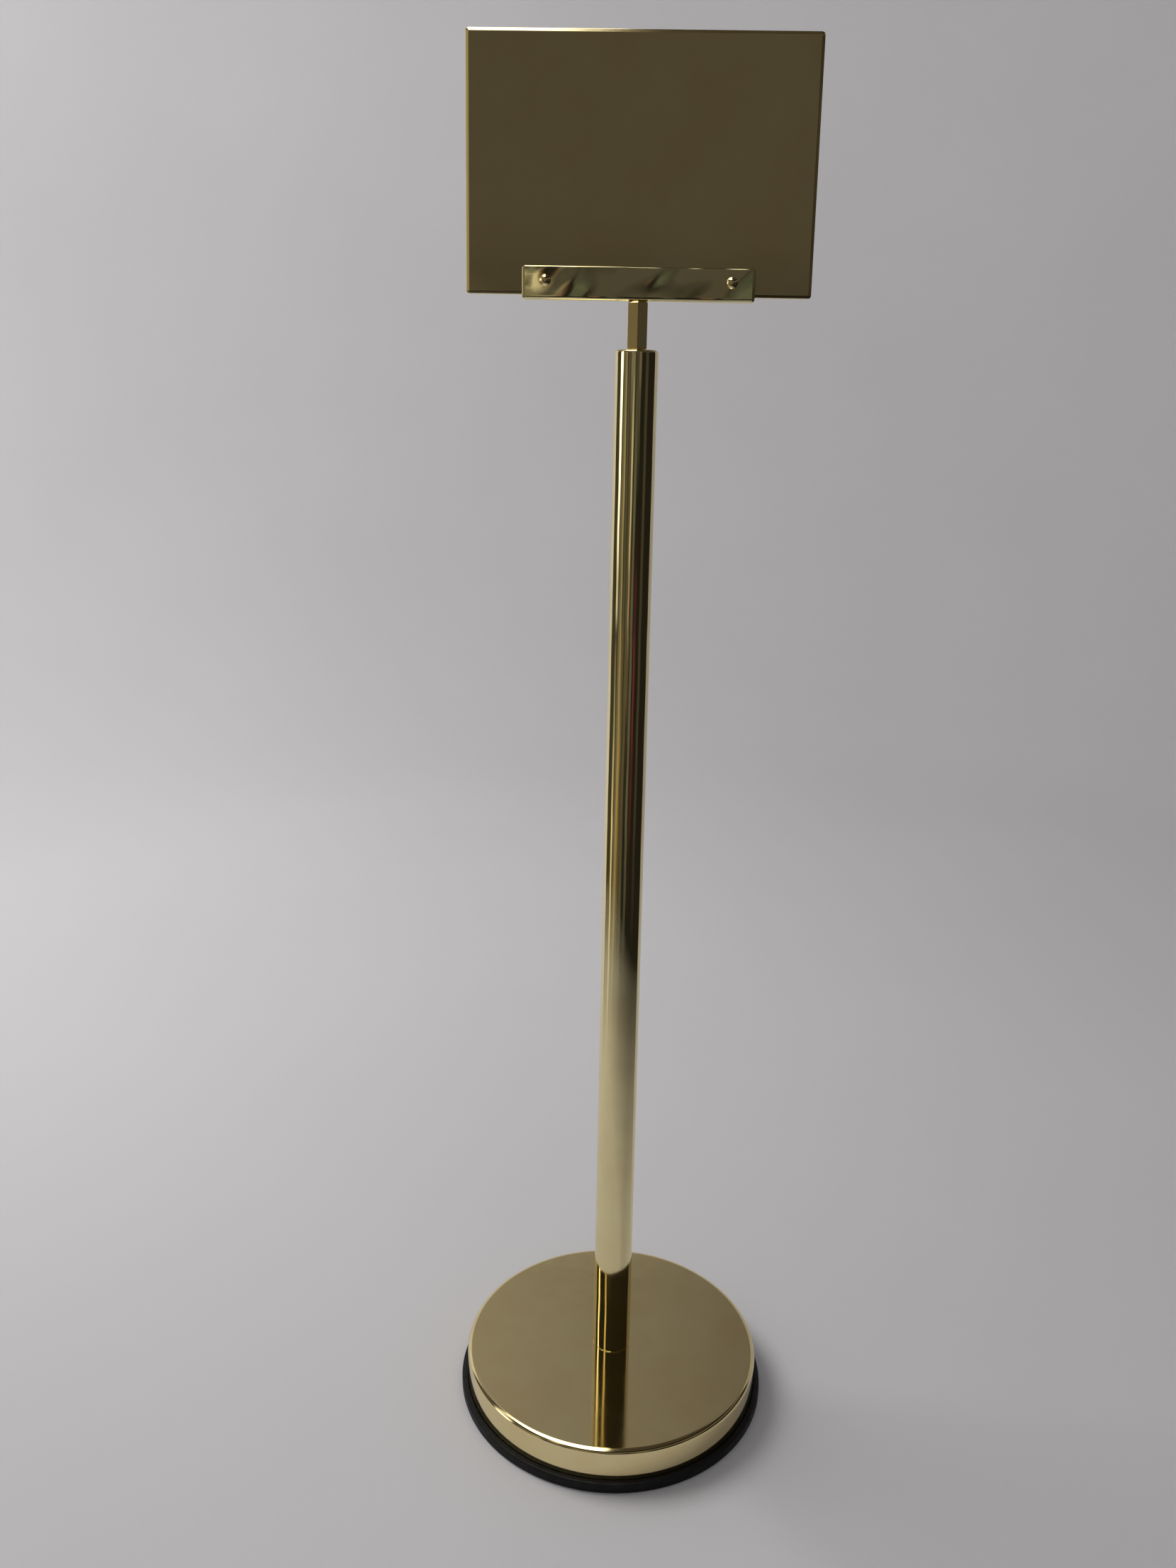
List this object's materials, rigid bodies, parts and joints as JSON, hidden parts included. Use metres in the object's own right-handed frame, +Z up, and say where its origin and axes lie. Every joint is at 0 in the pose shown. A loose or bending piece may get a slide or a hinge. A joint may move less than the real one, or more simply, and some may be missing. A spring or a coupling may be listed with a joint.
{
  "type": "sign stand",
  "caption": "Free-standing brass sign stand: weighted round base with a rubber ring, slim round post, hex neck and a channel bracket holding a landscape sign plate by its lower edge.",
  "frame": {"origin": "on the floor, at the centre of the round base", "axes": "+Z up along the post; the sign faces -Y and +X is to the right for a reader in front of it"},
  "size_m": [0.312, 0.312, 1.2996],
  "materials": {
    "polished_brass": "mirror polished, lacquered",
    "sign_brass": "mirror polished plate with buffed edges, blank",
    "turned_brass": "turned, unpolished",
    "zinc_steel": "zinc plated",
    "cast_iron": "rough casting, black primer",
    "black_rubber": "moulded, satin",
    "felt": "needled felt"
  },
  "bodies": {
    "stand": {"base_rubber_ring": "black_rubber", "base_felt_pad": "felt", "base_cover": "polished_brass", "base_weight": "cast_iron", "tie_rod_nut": "zinc_steel", "tie_rod_lock_washer": "zinc_steel", "tie_rod_washer": "zinc_steel", "tie_rod": "zinc_steel", "tube_foot_plug": "turned_brass", "post_tube": "polished_brass", "tube_top_plug": "polished_brass", "neck_stud": "zinc_steel", "neck_wave_washer": "zinc_steel"},
    "head": {"neck_spacer": "polished_brass", "bracket_stud": "zinc_steel", "bracket_channel": "polished_brass", "sign_panel": "sign_brass", "dome_screw_left": "polished_brass", "dome_screw_right": "polished_brass", "back_washer_left": "polished_brass", "back_washer_right": "polished_brass", "cap_nut_left": "polished_brass", "cap_nut_right": "polished_brass"}
  },
  "joints": [
    {"name": "head_swivel", "type": "hinge", "parent": "stand", "child": "head", "pos_m": [0, 0, 1.0453], "axis": [0, 0, 1], "range_deg": [-90, 90]}
  ]
}
